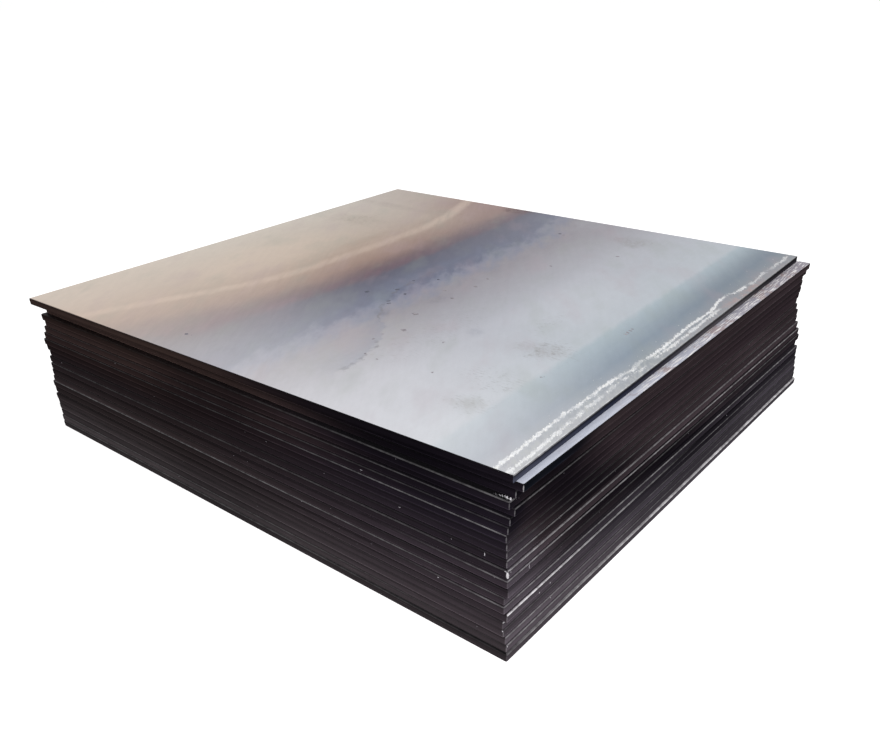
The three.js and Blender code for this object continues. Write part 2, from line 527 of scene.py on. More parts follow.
def dusted_margin(at, colour):
    """The strip by the edge: thin dust in clouds, darker where it is damp, with a pale line at the arris."""
    clouds = slanted(at.point, 40, 110, 5.0, 0.7)
    strip = fade(at.v + (clouds - 0.5) * 0.02, 0.018, 0.034)
    damp = strip * fade(clouds, 0.36, 0.5) * ramp_up(at.u, 0.1, 0.3, 0.3, 0.15)
    dust = strip * ramp_up(clouds, 0.45, 0.62) * near(at.u, 0.52, 0.1, 0.3, 0.6, 0.5)
    broken = ramp_up(mottle(at.point, (40, 1, 1), 4.0, 0.7), 0.42, 0.62)
    rim = fade(at.v, 0.0012, 0.0028) * broken * ramp_up(at.u, 0.2, 0.5, 0.8, 0.2)
    colour = blend(damp, colour, DUST_SHADE)
    colour = blend(dust, colour, blend(ramp_up(at.u, 0.35, 0.55), DUST, DUST_FAR))
    return blend(rim, colour, STRAND_WHITE), larger(dust, rim)


def marked(at, colour, brushed, blotchy):
    """The top plate's colour with its washes, smudges, water mark and scuffs on it."""
    ragged = (mottle(at.point, 24.0, 5.0, 0.7) - 0.5) * 2.2
    worn_through = ramp_up(brushed + blotchy, -0.15, 0.2, 0.35, 1.2)
    for *place, strength, tint in WASHES:
        colour = blend(patch(at, ragged * 0.3, *place) * strength, colour, tint)
    for *place, strength, tint in SMUDGES:
        colour = blend(patch(at, ragged, *place) * worn_through * strength, colour, tint)
    colour = tide_line(at, colour)
    scratches = ramp_up(mottle(at.point, (220, 60, 1), 4.0, 0.7), 0.52, 0.66)
    for *place, strength in SCUFFED:
        colour = blend(patch(at, ragged, *place) * strength * scratches, colour, SCUFF)
    return colour


def top_face(at, plate):
    """Colour, roughness and relief in millimetres of the top plate's upper face."""
    rolled = mottle(at.point, (5.4, 126, 9), 4.0, 0.6) - 0.5
    cloudy = mottle(at.point, 7.0, 6.0, 0.62) - 0.5
    brushed = slanted(at.point, 14, 90, 5.0, 0.65) - 0.5
    blotchy = mottle(at.point, 38.0, 4.0, 0.65) - 0.5
    grain = mottle(at.point, 420.0, 2.0, 0.6) - 0.5
    colour = marked(at, heat_tint(at), brushed, blotchy)
    middle = near(at.v, 0.55, 0.1, 0.35, 0.2, 0.09)
    tinge = slanted(at.point, 5, 11, 3.0, 0.55)
    colour = blend(ramp_up(tinge, 0.5, 0.72, 0.0, 0.18), colour, GREENISH)
    colour = blend(ramp_up(tinge, 0.5, 0.28, 0.0, 0.18), colour, PINKISH)
    tone = 1.0 + rolled * 0.05 + cloudy * 0.09 + brushed * middle + blotchy * 0.07 + grain * 0.05
    colour = shade(colour, tone)
    grimy = fade(at.x, 1.5 * MM, 4 * MM) * ramp_up(at.v, 0.75, 0.9, 0.0, 0.65)
    colour = blend(grimy, colour, RIM_GRIME)
    rust = fade(at.v, 0.008, 0.018) * near(at.u, RUST_PLACE, 0.06, 0.12, 0.5)
    colour = blend(rust * ramp_up(blotchy, -0.05, 0.12), colour, RUSTY)
    colour, dust = dusted_margin(at, colour)
    strands = dust_strands(at, plate)
    colour = blend(strands, colour, STRAND_WHITE)
    roughness = 0.42 + cloudy * 0.12 + larger(dust, strands) * 0.3
    return colour, roughness, rolled * 0.02 + cloudy * 0.03 + strands * 0.25 + grain * 0.01


# ---- the other plates' faces ----

SECOND_PLATE = 21
MARGIN_WIDTH = 32 * MM
# Near-black of dirt and painted shade on ledges that lie under an overhang.
MARGIN_DIRT_AND_SHADE = srgb(14, 12, 14)
# Painted shade: a ledge faces up and would catch more light than the sides, so it takes their tint this much
# darker.
LEDGE_SHADE = 0.8
DARK_LEDGES = {19: 1.0, 9: 0.6, 11: 0.5, 2: 0.5, 1: 1.0}  # how black the near end of a left ledge is, with dirt and painted shade
DARK_SCALE = srgb(84, 84, 92)
GREY_SCALE = srgb(108, 107, 114)
PALE_REACH = (0.05, 0.09)  # the pale margin ends between these shares of the width
PALE_NEAR = srgb(200, 204, 218)
PALE_FAR = srgb(150, 145, 155)
PALE_SCUFF = srgb(232, 229, 229)
PINK_SCUFF = srgb(166, 146, 144)


def pale_margin(at):
    """The second plate's face, clean and pale along the edge where the top plate left it bare."""
    streaky = mottle(at.point, (22, 420, 1), 4.0, 0.6)
    blotchy = mottle(at.point, (45, 200, 1), 5.0, 0.7)
    broad = mottle(at.point, (12, 12, 1), 3.0, 0.6)
    colour = blend(ramp_up(at.u, 0.1, 0.95), PALE_NEAR, PALE_FAR)
    further = ramp_up(at.u + (broad - 0.5) * 0.3, 0.22, 0.34, 0.15, 1.0)
    colour = blend(ramp_up(broad - (blotchy - 0.5) * 0.6, 0.5, 0.62) * further * 0.7, colour, PINK_SCUFF)
    colour = blend(ramp_up(streaky + blotchy * 0.5, 0.76, 0.86) * further, colour, PALE_SCUFF)
    colour = shade(colour, 0.85 + streaky * 0.3)
    return blend(ramp_up(at.v, *PALE_REACH), colour, blend(broad, DARK_SCALE, GREY_SCALE)), blotchy


def mill_scale(at, plate, side_colour):
    """Colour, roughness and relief in millimetres of a plate's rolled face, its margin tinted as its sides
    and darkened by painted shade.
    """
    cloudy = mottle(at.point, 14.0, 6.0, 0.65)
    rolled = mottle(at.point, (6.3, 126, 9), 4.0, 0.6) - 0.5
    flaky = mottle(at.point, (33.25, 95, 95), 5.0, 0.7)
    if plate.number == SECOND_PLATE:
        colour, flaky = pale_margin(at)
    else:
        colour = blend(ramp_up(cloudy, 0.35, 0.7), DARK_SCALE, GREY_SCALE)
        colour = shade(colour, 1.0 + rolled * 0.25)
        inward = at.inset + (flaky - 0.5) * MARGIN_WIDTH
        margin = fade(inward, 0.6 * MARGIN_WIDTH, 1.2 * MARGIN_WIDTH)
        # A ledge takes the sides' tint, with its painted reflection, under the painted shade of LEDGE_SHADE.
        dirt = shade(side_colour, LEDGE_SHADE + (flaky - 0.5) * 0.4)
        if plate.number in DARK_LEDGES:
            black = at.left_side * fade(at.v, 0.15, 0.5, DARK_LEDGES[plate.number])
            dirt = blend(black, dirt, MARGIN_DIRT_AND_SHADE)
        colour = blend(margin * 0.97, colour, dirt)
    return colour, 0.5 + (flaky - 0.5) * 0.2, rolled * 0.02 + flaky * 0.04


# ---- sheared edges ----

BURNISH = 5.4 * MM  # depth from the top face to the foot of the band that the blade left smooth
# Worn bare metal, also used for the painted highlights on arrises and upright corners.
BARE_STEEL_AND_HIGHLIGHT = srgb(222, 219, 222)
SCRATCHED = 1.2  # how much brighter a scratch is than the side
PATTERN_SHIFT = Vector((0.37, 0.61, 0.0))  # the pattern moves on by this from plate to plate

# The near-black of the cut sides at places down the stack, 0 at its top and 1 at its foot, made lighter
# towards the foot by a painted reflection of the floor.
LEFT_NEAR = ((0.0, 30, 25, 32), (0.35, 33, 28, 36), (0.6, 52, 45, 51), (1.0, 59, 53, 56))
LEFT_FAR = ((0.0, 51, 40, 37), (0.3, 43, 33, 33), (0.45, 31, 25, 27), (0.7, 40, 34, 35), (1.0, 62, 57, 59))
RIGHT_NEAR = ((0.0, 15, 13, 18), (0.28, 17, 14, 20), (0.37, 44, 39, 45), (0.5, 68, 62, 69), (1.0, 82, 75, 81))
RIGHT_FAR = (
    (0.0, 45, 38, 40), (0.3, 43, 35, 39), (0.42, 54, 46, 49), (0.54, 54, 46, 50),
    (0.64, 34, 30, 34), (0.75, 35, 32, 37), (0.82, 54, 50, 56), (1.0, 63, 59, 64),
)
STREAK_PATH = ((0, 0.10), (0.25, 0.11), (0.43, 0.19), (0.57, 0.25), (0.62, 0.42), (0.75, 0.58), (1, 0.5))
BLUE_BLACK = srgb(11, 9, 14)
TEAL_BLACK = srgb(12, 16, 22)  # the second plate's right side by the near corner
NAVY = (  # the top plate's right side, from the near corner on
    (0.0, 58, 60, 72), (0.24, 33, 36, 49), (0.38, 44, 43, 50),
    (0.5, 64, 62, 66), (0.7, 66, 64, 67), (0.85, 40, 38, 42),
)
# How much lighter than the palettes a plate's sides are: the left at its near and far end, then the right.
TONE = {
    22: (1, 1, 1, 1), 21: (1, 0.88, 1, 1), 20: (1, 1.7, 1, 0.85),
    19: (1, 0.7, 1.4, 1.1), 18: (1, 1.05, 1.2, 1), 17: (0.85, 1.1, 1.2, 1),
    16: (0.9, 0.95, 1, 1), 15: (1, 0.75, 1, 1.1), 14: (0.8, 0.75, 1.05, 0.95),
    13: (0.9, 1, 0.95, 0.85), 12: (0.75, 1.15, 1.1, 0.9), 11: (0.75, 1.15, 1.12, 1.4),
    10: (1.1, 1.1, 1.1, 1), 9: (0.75, 1.5, 1.1, 0.95), 8: (1, 1, 0.95, 0.95),
    7: (1, 1, 1.1, 1.9), 6: (0.95, 1, 1, 1), 5: (1.1, 1.1, 0.9, 1.1),
    4: (1.2, 1.15, 0.75, 1.5), 3: (1.15, 0.95, 1.35, 1.1), 2: (1.1, 1.35, 1.1, 1.1),
    1: (0.72, 0.7, 0.72, 1.2),
}
# Stretches of the right sides that are paler: (middle, half length, how pale).
PALER_STRETCHES = {
    21: (0.95, 0.25, 1.6),
    19: (0.86, 0.2, 1.25),
    14: (0.76, 0.14, 1.25),
    13: (0.76, 0.14, 1.25),
    6: (0.25, 0.15, 1.35),
    1: (0.52, 0.22, 1.3),
}
# Painted dark streaks of reflection that turn the sides blue-black: where they lie, and how strongly by the
# share of the way down the stack.
LEFT_NEAR_DIP = 0.17
LEFT_NEAR_STREAK = ((0.12, 0.85), (0.42, 0.0))
LEFT_FAR_DIP = 0.54
LEFT_FAR_STREAK = ((0.08, 0.0), (0.2, 0.5), (0.3, 0.5), (0.45, 0.0), (0.65, 0.0), (0.8, 0.22))
STREAK_STRENGTH = ((0.76, 0.85), (0.9, 0.2))
FAINT_STREAK = (1, 4, 6, 7, 11)  # plates on which the streak across the right sides is half as strong
# A painted sheen greys the right sides by the near corner, and reaches further at the foot of the stack.
NEAR_SHEEN_REACH = ((0.25, 0.06), (0.4, 0.02))  # share of the right side that is greyer by the near corner
FOOT_SHEEN_REACH = 0.64  # what is added to that at the foot of the stack

# How bright a plate's top arris is, with worn bare metal and a painted highlight: at its near end, at its far
# end, and the share of the side over which one gives way to the other. A plate not named has DULL arrises.
DULL = (0.01, 0.01, 0.5)
LEFT_WEAR_AND_HIGHLIGHT = {
    20: (0, 0.01, 0.6), 19: (0.11, 0.01, 0.6), 18: (0.02, 0.01, 0.6),
    17: (0.08, 0.02, 0.6), 16: (0.03, 0.03, 0.6), 15: (0.16, 0.03, 0.6),
    11: (0.06, 0.04, 0.8), 10: (0.14, 0, 0.22), 8: (0.06, 0.12, 0.6),
    7: (0.15, 0, 0.22), 6: (0, 0, 0.6), 3: (0, 0.01, 0.5),
    2: (0.01, 0.05, 0.5), 1: (0.01, 0.06, 0.5),
}
RIGHT_WEAR_AND_HIGHLIGHT = {
    22: (0.3, 0.08, 0.3), 20: (0.03, 0.01, 0.4), 19: (0.14, 0.01, 0.1),
    18: (0.11, 0.02, 0.4), 14: (0.02, 0.03, 0.4), 13: (0.04, 0.02, 0.3),
    12: (0.17, 0.05, 0.45), 11: (0.28, 0.16, 0.5), 10: (0.19, 0.28, 0.8),
    9: (0, 0.09, 0.9), 8: (0, 0.08, 0.9), 7: (0.15, 0.22, 0.5),
    6: (0.9, 0, 0.55), 5: (0.5, 0.05, 1), 4: (0.04, 0.05, 0.5),
    3: (0.2, 0.04, 0.5), 2: (0.22, 0.06, 0.5), 1: (0.1, 0.76, 0.6),
}
FADE_POWER = 1.6
ARRIS_REACH = 1.9 * MM
LEDGE_REACH = {1: 5 * MM, 6: 3 * MM, 11: 3 * MM, 19: 3 * MM}  # where bare metal and a painted highlight run further in
CORNER_WEAR_AND_HIGHLIGHT = {  # the upright near corners that are worn bright and given a painted highlight
    22: 0.0, 21: 0.35, 20: 0.15, 19: 0.1, 18: 0.11, 17: 0.13, 16: 0.13, 15: 0.12, 14: 0.15, 13: 0.14,
    12: 0.14, 11: 0.8, 6: 0.1, 4: 0.1, 2: 0.1,
}
CORNER_DULL = 0.03
CORNER_REACH = 0.9 * MM
FOOT_INSET = 0.08  # how far a cut side draws back towards its foot, as a share of the depth
KNOCKED_PLATE = 11
KNOCK_REACH = 2.1 * MM
# Factors by depth in millimetres that make up for the light that a side catches at its rounded top arris and
# lacks at its foot, so that the cut sides of the stack merge as they do where dirt has filled the seams.
EVEN_LIGHT = ((0.0, 0.5), (1.4, 0.56), (3.0, 0.82), (5.4, 1.0), (11.0, 1.15))
EVEN_SEAM = ((12.2, 1.35), (13.2, 3.2), (14.0, 4.2))
DARK_SEAM = ((12.2, 0.9), (13.2, 1.0), (14.0, 1.0))
DARK_SEAMS = (2, 3, 5, 22)  # plates at whose foot the seam stays dark


def paler(colour, factor):
    return tuple(part * factor for part in colour[:3]) + (1.0,)


def painted_dark_streak(colour, far, place, start, end, strength):
    """The colour, turned blue-black about a place along the side: a painted dark streak of reflection."""
    return blend(near(far, place, start, end, strength), colour, BLUE_BLACK)


def left_tint(plate, far):
    """The near-black of a plate's left side, from its near to its far end, with painted dark streaks of
    reflection.
    """
    low = plate.depth_share
    left_near, left_far = TONE[plate.number][:2]
    near_colour = paler(pick(LEFT_NEAR, low), left_near)
    colour = blend(ramp_up(far, 0.05, 0.65), near_colour, paler(pick(LEFT_FAR, low), left_far))
    high = level(((0.0, 1.0), (0.14, 0.0)), low)
    dip = LEFT_NEAR_DIP + 0.06 * high
    colour = painted_dark_streak(colour, far, dip, 0.03, 0.2 + 0.22 * high, level(LEFT_NEAR_STREAK, low))
    return painted_dark_streak(colour, far, LEFT_FAR_DIP, 0.03, 0.2, level(LEFT_FAR_STREAK, low))


def right_tint(at, plate, far):
    """The near-black of a plate's right side, with a painted sheen by the near corner and the painted
    blue-black streak of reflection that crosses the stack.
    """
    low = plate.depth_share
    right_near, right_far = TONE[plate.number][2:]
    strength = level(STREAK_STRENGTH, low) * (0.5 if plate.number in FAINT_STREAK else 1.0)
    colour = paler(pick(RIGHT_FAR, low), right_far)
    colour = painted_dark_streak(colour, far, level(STREAK_PATH, low), 0.02, 0.09 + 0.25 * low, strength)
    # Painted sheen by the near corner.
    painted_sheen = fade(far, 0.0, level(NEAR_SHEEN_REACH, low) + FOOT_SHEEN_REACH * low ** 3)
    colour = blend(painted_sheen, colour, paler(pick(RIGHT_NEAR, low), right_near))
    if plate.number == SECOND_PLATE:
        colour = blend(fade(at.u, 0.06, 0.18, 0.8), colour, TEAL_BLACK)
    if plate.number in PALER_STRETCHES:
        middle, half_length, factor = PALER_STRETCHES[plate.number]
        colour = shade(colour, near(far, middle, 0.3 * half_length, half_length, factor, 1.0))
    return colour


def side_tint(at, plate, cloudy):
    """The near-black of a cut side, with painted reflection: greyer by the near corner, and blue-black in
    dark streaks.
    """
    far = at.along + (cloudy - 0.5) * 0.12
    left = left_tint(plate, far)
    if plate.name == TOP_NODE:
        right = shade(bands(at.u, NAVY), ramp_up(at.depth, 2 * MM, 9 * MM, 0.6, 1.25))
    else:
        right = right_tint(at, plate, far)
    return blend(at.left_side, right, left)


def sheared_edge(at, plate):
    """Colour, roughness and relief in millimetres of a plate's cut side, and its colour without any marks."""
    shift = plate.number * PATTERN_SHIFT
    point = Field(add_node(tree_of(at.point), "ShaderNodeVectorMath", (at.point, shift)).outputs[0])
    cloudy = mottle(point, 3.0, 4.0, 0.6)
    striped = mottle(point, (3, 3, 700), 3.0, 0.65) - 0.5
    dragged = mottle(point, (350, 350, 30), 3.0, 0.6) - 0.5
    torn = mottle(point, 600.0, 4.0, 0.7) - 0.5
    burnished = fade(at.depth + dragged * 2 * MM, BURNISH, BURNISH + 1 * MM)
    texture = 1.0 + striped * 0.9 + dragged * 0.2 + torn * 0.5 * (1 - burnished)
    seam = EVEN_SEAM if plate.number not in DARK_SEAMS else DARK_SEAM
    even = path_of(at.depth / MM, EVEN_LIGHT + seam)
    scratch = ramp_up(mottle(point, (14, 14, 1100), 2.0, 0.5), 0.6, 0.75)
    texture = larger(texture, 0.3) + scratch * ramp_up(cloudy, 0.4, 0.6, 0.2, SCRATCHED)
    tint = side_tint(at, plate, cloudy)
    roughness = ramp_up(burnished, 0, 1, 0.68, 0.48)
    relief = dragged * 0.05 * burnished + torn * 0.2 * (1 - burnished) + striped * 0.04
    return shade(tint, texture * even), roughness, relief, tint


def bright_along(side, plate, place):
    """How bright a side's top arris is at a place along it, with worn bare metal and a painted highlight."""
    near_end, far_end, reach = side.get(plate.number, DULL)
    return far_end + (near_end - far_end) * slide(place, 0, reach, 1, 0) ** FADE_POWER


def arris_wear_and_highlight(at, plate):
    """How much bare metal and painted highlight show along the top arris, and on the ledge behind it where
    that is worn too.
    """
    left = bright_along(LEFT_WEAR_AND_HIGHLIGHT, plate, at.v)
    right = bright_along(RIGHT_WEAR_AND_HIGHLIGHT, plate, at.u)
    strength = right + (left - right) * at.left_side
    broken = mottle(at.point, 90.0, 5.0, 0.7)
    patchy = mottle(at.point, 24.0, 4.0, 0.65)
    reach = ARRIS_REACH * (0.75 + broken * 0.5)
    ledge_reach = reach * (LEDGE_REACH.get(plate.number, ARRIS_REACH) / ARRIS_REACH)
    line = fade(at.depth, reach * 0.5, reach)
    ledge = fade(at.inset, ledge_reach * 0.6, ledge_reach)
    return line * ledge * strength * ramp_up(broken * 0.5 + patchy * 0.5, 0.3, 0.7, 0.35, 1.5)


def corner_wear_and_highlight(at, plate):
    """Bare metal and a painted highlight on the upright near corner, which slings and other plates rub."""
    away = (at.x * at.x + at.y * at.y) ** 0.5 - at.depth * FOOT_INSET
    broken = mottle(at.point, 260.0, 3.0, 0.7)
    strength = CORNER_WEAR_AND_HIGHLIGHT.get(plate.number, CORNER_DULL)
    reach, torn = (KNOCK_REACH, 3.0) if plate.number == KNOCKED_PLATE else (CORNER_REACH, 1.5)
    return fade(away + (broken - 0.5) * reach * torn, 0.8 * reach, 1.4 * reach, strength)


# ---- materials ----

RELIEF_STRENGTH = 0.6
FACE_METALLIC = 0.3
FACE_SPECULAR = 0.01
CHIP_SPECULAR = 0.1


def new_material(name):
    material = bpy.data.materials.new(name)
    material.use_nodes = True
    surface = material.node_tree.nodes["Principled BSDF"]
    return material, material.node_tree, surface


def add_relief(tree, surface, height):
    """Bump from a height in millimetres."""
    bump = add_node(tree, "ShaderNodeBump")
    feed(bump.inputs["Strength"], RELIEF_STRENGTH)
    feed(bump.inputs["Distance"], MM)
    feed(bump.inputs["Height"], height)
    feed(surface.inputs["Normal"], Field(bump.outputs["Normal"]))


def plate_material(plate):
    """One plate's steel: its rolled faces, its cut sides and the bare metal and painted highlights of its
    arrises.
    """
    material, tree, surface = new_material("steel_" + plate.name)
    at = Spot(tree, plate)
    edge_colour, edge_roughness, edge_relief, edge_tint = sheared_edge(at, plate)
    if plate.name == TOP_NODE:
        face_colour, face_roughness, face_relief = top_face(at, plate)
    else:
        face_colour, face_roughness, face_relief = mill_scale(at, plate, edge_tint)
    on_face = ramp_up(abs(at.facing_up), 0.97, 0.99)
    # Worn bare metal and painted highlights on the arrises and upright corners.
    wear_and_highlights = larger(arris_wear_and_highlight(at, plate), corner_wear_and_highlight(at, plate))
    if plate.name == TOP_NODE or plate.number == SECOND_PLATE:
        wear_and_highlights = wear_and_highlights * (1 - on_face)
    colour = blend(on_face, edge_colour, face_colour)
    colour = blend(wear_and_highlights, colour, BARE_STEEL_AND_HIGHLIGHT)
    feed(surface.inputs["Base Color"], colour)
    feed(surface.inputs["Roughness"], edge_roughness + (face_roughness - edge_roughness) * on_face)
    feed(surface.inputs["Metallic"], on_face * FACE_METALLIC)
    feed(surface.inputs["Specular IOR Level"], on_face * FACE_SPECULAR)
    add_relief(tree, surface, edge_relief + (face_relief - edge_relief) * on_face)
    return material


def chip_material(name, dark, light, grain):
    """A rough finish that runs between two colours from chip to chip, for what lies loose on the plates."""
    material, tree, surface = new_material(name)
    point = Field(add_node(tree, "ShaderNodeTexCoord").outputs["Object"])
    tone = mottle(point, grain, 3.0, 0.6)
    feed(surface.inputs["Base Color"], blend(ramp_up(tone, 0.35, 0.65), dark, light))
    feed(surface.inputs["Roughness"], ramp_up(tone, 0.3, 0.7, 0.5, 0.8))
    feed(surface.inputs["Specular IOR Level"], CHIP_SPECULAR)
    add_relief(tree, surface, mottle(point, grain * 4, 3.0, 0.7) * 0.1)
    return material


# ---- scale dust, scale flakes, nicks and burrs ----

CHIP_CORNERS = 6
CHIP_SINK = 0.05 * MM  # how far a chip reaches into what it lies on, so that no gap shows under it


class Chips:
    """Many small closed chips, joined in one mesh."""

    def __init__(self, seed):
        self.random = np.random.default_rng(seed)
        self.points = []
        self.faces = []

    def add(self, seat, length, width, height, spin=0.0):
        """An uneven chip that lies on a seat: a flat foot, a sloping rim and a crown."""
        first = len(self.points)
        turns = np.arange(CHIP_CORNERS) * 2 * math.pi / CHIP_CORNERS
        turns = turns + self.random.uniform(-0.25, 0.25, CHIP_CORNERS)
        spread = self.random.uniform(0.7, 1.1, CHIP_CORNERS)
        x, y = np.cos(turns) * spread * length / 2, np.sin(turns) * spread * width / 2
        spun_x = x * math.cos(spin) - y * math.sin(spin)
        spun_y = x * math.sin(spin) + y * math.cos(spin)
        rings = [(1.0, -CHIP_SINK), (0.8, height * self.random.uniform(0.6, 1.0))]
        for share, lift in rings:
            self.points += [seat @ Vector((a * share, b * share, lift)) for a, b in zip(spun_x, spun_y)]
        self.points.append(seat @ Vector((0, 0, height)))
        foot = range(first, first + CHIP_CORNERS)
        rim = range(first + CHIP_CORNERS, first + 2 * CHIP_CORNERS)
        crown = first + 2 * CHIP_CORNERS
        self.faces.append(tuple(reversed(foot)))
        for i in range(CHIP_CORNERS):
            j = (i + 1) % CHIP_CORNERS
            self.faces.append((foot[i], foot[j], rim[j], rim[i]))
            self.faces.append((rim[i], rim[j], crown))

    def join(self, name, material):
        """The chips as one loose piece, which rides on root."""
        mesh = bpy.data.meshes.new(name)
        mesh.from_pydata([tuple(point) for point in self.points], [], self.faces)
        mesh.materials.append(material)
        piece = add_object(name, mesh)
        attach(piece, "root")


CRUMB_LENGTHS = (1.2 * MM, 4.6 * MM)
CRUMB_HEIGHT = 0.35 * MM
CRUMBS_PER_METRE = 1800
CRUMB_CLUMPS = (410, 173)  # how fast crumbs come and go along the plate, in radians over its length
STRAY_CRUMBS = 60


def scale_dust(plate):
    """Crumbs of white scale dust strewn along the top plate's front-right edge."""
    chips = Chips(seed=11)
    random = chips.random
    for strand in (INNER_STRAND, OUTER_STRAND):
        for _ in range(round(CRUMBS_PER_METRE * plate.length)):
            u = random.random()
            v, cover = along_strand(strand, u)
            clumped = 0.5 + 0.5 * math.sin(u * CRUMB_CLUMPS[0]) * math.sin(u * CRUMB_CLUMPS[1] + 1)
            if random.random() > cover * (0.25 + 0.75 * clumped):
                continue
            v += random.normal(0, 0.6) * STRAND_HALF_WIDTH / plate.width
            length = random.uniform(*CRUMB_LENGTHS) * random.uniform(0.4, 1.0)
            width = length * random.uniform(0.3, 0.7)
            seat = plate.top_seat(max(u, 0.002), max(v, 0.002))
            chips.add(seat, length, width, CRUMB_HEIGHT, random.normal(SLANT, 0.5))
    for _ in range(STRAY_CRUMBS):
        u, v = random.uniform(0.01, 0.98), random.uniform(0.003, 0.05)
        length = random.uniform(0.8, 2.6) * MM
        chips.add(plate.top_seat(u, v), length, length * 0.5, CRUMB_HEIGHT, random.normal(SLANT, 0.4))
    material = chip_material("dust_white", srgb(196, 196, 192), srgb(240, 240, 238), 300.0)
    chips.join("scale_dust", material)


# Flakes of loose scale on the top plate: (u, v, length in mm).
SILVER_FLAKES = (
    (0.45, 0.434, 8), (0.33, 0.404, 10), (0.498, 0.403, 10), (0.264, 0.374, 10), (0.21, 0.39, 5),
    (0.16, 0.362, 5), (0.165, 0.242, 4), (0.261, 0.295, 4), (0.449, 0.087, 5), (0.457, 0.088, 6),
    (0.466, 0.088, 5), (0.474, 0.089, 4), (0.545, 0.41, 9), (0.425, 0.40, 8), (0.87, 0.44, 4),
    (0.24, 0.111, 3), (0.675, 0.355, 6), (0.80, 0.28, 7), (0.155, 0.335, 4),
)
SLATE_FLAKES = (
    (0.367, 0.542, 9), (0.343, 0.473, 7), (0.352, 0.480, 6), (0.395, 0.48, 7), (0.46, 0.513, 5),
    (0.49, 0.48, 5), (0.406, 0.506, 7), (0.875, 0.452, 7), (0.055, 0.64, 5),
)
FLAKE_GROWTH = 1.8
FLAKE_HEIGHT = 0.4 * MM
FLAKE_GRAIN = 160.0


def scale_flakes(plate, name, seed, flakes, dark, light):
    """Flakes of loose scale on the top plate, darker than the steel that they lie on."""
    chips = Chips(seed)
    random = chips.random
    for u, v, length in flakes:
        spin = random.uniform(0, math.pi)
        size = length * FLAKE_GROWTH * MM
        chips.add(plate.top_seat(u, v), size, size * random.uniform(0.5, 0.8), FLAKE_HEIGHT, spin)
        for _ in range(random.integers(0, 3)):
            stray = random.normal(0, 0.006, 2)
            crumb = random.uniform(1.0, 2.5) * MM
            chips.add(plate.top_seat(u + stray[0], v + stray[1]), crumb, crumb * 0.6, 0.3 * MM, spin)
    chips.join(name, chip_material(name + "_brown", dark, light, FLAKE_GRAIN))


# Nicks that show bare metal on the cut sides: (plate, side, share of the side from the near corner, depth in
# millimetres below the top face, length and height in millimetres).
NICKS = (
    (6, "right", 0.070, 12, 3.2, 3.0),
    (6, "right", 0.095, 12, 3.2, 3.0),
    (3, "right", 0.100, 3, 2.0, 2.0),
    (10, "right", 0.046, 6, 0.8, 9.0),
    (11, "left", 0.003, 1, 6.0, 1.2),
    (11, "right", 0.006, 4, 1.5, 3.0),
    (2, "right", 0.002, 2, 2.5, 3.0),
    (7, "left", 0.100, 4, 3.5, 2.0),
    (12, "left", 0.032, 5, 1.4, 7.0),
    (16, "left", 0.230, 8, 6.0, 0.8),
    (13, "left", 0.165, 5, 5.0, 0.8),
    (4, "left", 0.0015, 2, 2.5, 2.5),
)
NICK_DEPTH = 0.5 * MM
NICK_GRAIN = 150.0


def nicks(plates):
    """Nicks that show as pale points on the cut sides."""
    chips = Chips(seed=37)
    for number, side, along, depth, length, height in NICKS:
        seat = plates[number - 1].side_seat(side, along, depth * MM)
        chips.add(seat, length * MM, height * MM, NICK_DEPTH)
    material = chip_material("nick_steel", srgb(150, 146, 152), srgb(214, 210, 216), NICK_GRAIN)
    chips.join("edge_nicks", material)


GRIT_COUNT = 40
GRIT_HEIGHT = 0.3 * MM


def grit(plates):
    """Grit and faint nicks scattered over the cut sides, on all but the top three plates."""
    chips = Chips(seed=41)
    random = chips.random
    for _ in range(GRIT_COUNT):
        plate = plates[random.integers(0, len(plates) - 3)]
        along, depth = random.uniform(0.01, 0.99) ** 1.4, random.uniform(2, 5) * MM
        seat = plate.side_seat("right" if random.random() < 0.6 else "left", along, depth)
        length = random.uniform(0.7, 2.0) * MM
        chips.add(seat, length * random.uniform(1, 3), length * 0.7, GRIT_HEIGHT, random.uniform(-0.4, 0.4))
    material = chip_material("grit_steel", srgb(92, 88, 94), srgb(148, 144, 150), NICK_GRAIN)
    chips.join("edge_grit", material)


BURR_PLATE = 19
BURR_LENGTH = 33 * MM
BURR_LUMPS = 15
BURR_INWARD = (5.5 * MM, 8.0 * MM)  # how far in on the ledge its lumps lie
BURR_START = 1.5 * MM  # from the near corner
BURR_SINK = 0.4 * MM


def torn_burr(plate):
    """A ragged burr that lies torn off on a ledge: lumps that grow smaller away from the near corner."""
    chips = Chips(seed=5)
    random = chips.random
    for lump in range(BURR_LUMPS):
        share = (lump + random.uniform(0, 0.8)) / BURR_LUMPS
        size = (1.25 - 1.1 * share) * random.uniform(0.6, 1.2)
        inward = random.uniform(*BURR_INWARD)
        place = Matrix.Translation((inward, BURR_START + share * BURR_LENGTH, -BURR_SINK))
        seat = plate.top_seat(0, 0) @ place
        length, width = 2.0 * size * MM, random.uniform(1.8, 4.4) * size * MM
        chips.add(seat, length, width, 3.4 * size * MM, random.normal(0, 0.2))
    material = chip_material("burr_steel", srgb(120, 117, 122), srgb(228, 226, 230), 420.0)
    chips.join("torn_burr", material)


# ---- stage, light and camera ----

FLOOR_SIZE = 80.0
FLOOR_SEEN = 0.92  # the floor's white as the camera and gloss see it
FLOOR_LIT = 0.6  # the floor's white in the light that it throws back on the stack
FLOOR_LIFT = 0.45  # light that the floor shows to the camera and to gloss, white away from its shadow
WORLD_LIGHT = 0.6
KEY_PLACE = Vector((-3.0, -3.4, 3.8))
KEY_SIZE = 3.0
KEY_POWER = 235.0

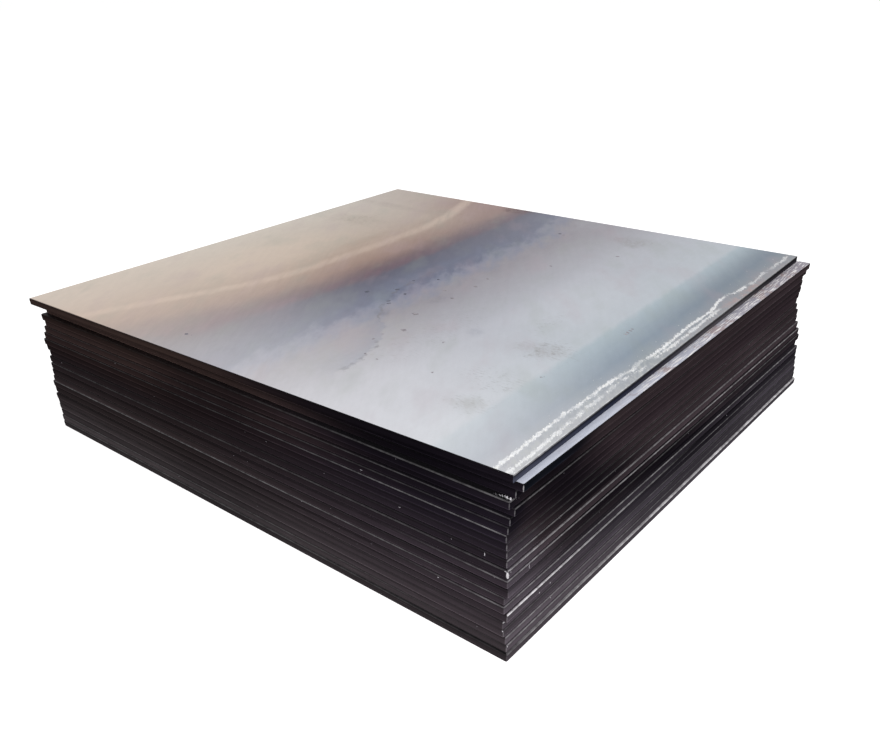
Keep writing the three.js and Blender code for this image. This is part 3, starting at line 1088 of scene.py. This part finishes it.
CAMERA_PLACE = Vector((-1.5023, -1.2171, 0.9594))
CAMERA_AIM = Vector((-0.3026, -0.2483, 0.2438))
CAMERA_ROLL = math.radians(0.78)
FOCAL_PIXELS = 887.18
IMAGE_WIDTH = 880
SENSOR_WIDTH = 36.0


def seen_or_mirrored(tree):
    """1 for the camera and for what gloss and glass show of the surroundings, 0 for the light on surfaces."""
    path = add_node(tree, "ShaderNodeLightPath")
    camera, glossy, through = (
        Field(path.outputs[name]) for name in ("Is Camera Ray", "Is Glossy Ray", "Is Transmission Ray")
    )
    return larger(larger(camera, glossy), through)


def make_floor():
    mesh = bpy.data.meshes.new("floor")
    half = FLOOR_SIZE / 2
    corners = [(-half, -half, 0), (half, -half, 0), (half, half, 0), (-half, half, 0)]
    mesh.from_pydata(corners, [], [(0, 1, 2, 3)])
    floor = add_object("floor", mesh)
    material, tree, surface = new_material("floor_white")
    seen = seen_or_mirrored(tree)
    lit_white = (FLOOR_LIT, FLOOR_LIT, FLOOR_LIT, 1)
    seen_white = (FLOOR_SEEN, FLOOR_SEEN, FLOOR_SEEN, 1)
    feed(surface.inputs["Base Color"], blend(seen, lit_white, seen_white))
    feed(surface.inputs["Roughness"], 0.9)
    feed(surface.inputs["Specular IOR Level"], 0.0)
    feed(surface.inputs["Emission Color"], (1, 1, 1, 1))
    feed(surface.inputs["Emission Strength"], seen * FLOOR_LIFT)
    mesh.materials.append(material)


def make_world():
    """White where it is seen or mirrored, and a plainer light on everything else."""
    world = bpy.data.worlds.new("studio")
    bpy.context.scene.world = world
    world.use_nodes = True
    tree = world.node_tree
    light = WORLD_LIGHT + (1 - WORLD_LIGHT) * seen_or_mirrored(tree)
    feed(tree.nodes["Background"].inputs["Strength"], light)
    tree.nodes["Background"].inputs["Color"].default_value = (1, 1, 1, 1)


def make_key_light():
    light = bpy.data.lights.new("key", "AREA")
    light.size = KEY_SIZE
    light.energy = KEY_POWER
    lamp = add_object("key", light)
    lamp.location = KEY_PLACE
    lamp.rotation_euler = (-KEY_PLACE).to_track_quat("-Z", "Y").to_euler()


def make_camera():
    camera = bpy.data.cameras.new("camera")
    camera.sensor_fit = "HORIZONTAL"
    camera.sensor_width = SENSOR_WIDTH
    camera.lens = FOCAL_PIXELS * SENSOR_WIDTH / IMAGE_WIDTH
    camera.clip_end = 2 * FLOOR_SIZE
    holder = add_object("camera", camera)
    aim = (CAMERA_AIM - CAMERA_PLACE).to_track_quat("-Z", "Y").to_matrix().to_4x4()
    roll = Matrix.Rotation(-CAMERA_ROLL, 4, "Z")
    holder.matrix_world = Matrix.Translation(CAMERA_PLACE) @ aim @ roll
    bpy.context.scene.camera = holder


# ---- the whole scene ----

plates = [Plate(name) for name in NODES]
for plate in plates:
    material = plate_material(plate)
    for slot in plate.node.material_slots:
        slot.material = material

scale_dust(plates[-1])
scale_flakes(plates[-1], "scale_flakes", 23, SILVER_FLAKES, srgb(120, 116, 121), srgb(158, 153, 158))
scale_flakes(plates[-1], "slate_flakes", 29, SLATE_FLAKES, srgb(74, 76, 88), srgb(100, 102, 114))
nicks(plates)
grit(plates)
torn_burr(plates[BURR_PLATE - 1])

make_floor()
make_world()
make_key_light()
make_camera()
bpy.context.scene.view_settings.view_transform = "Standard"
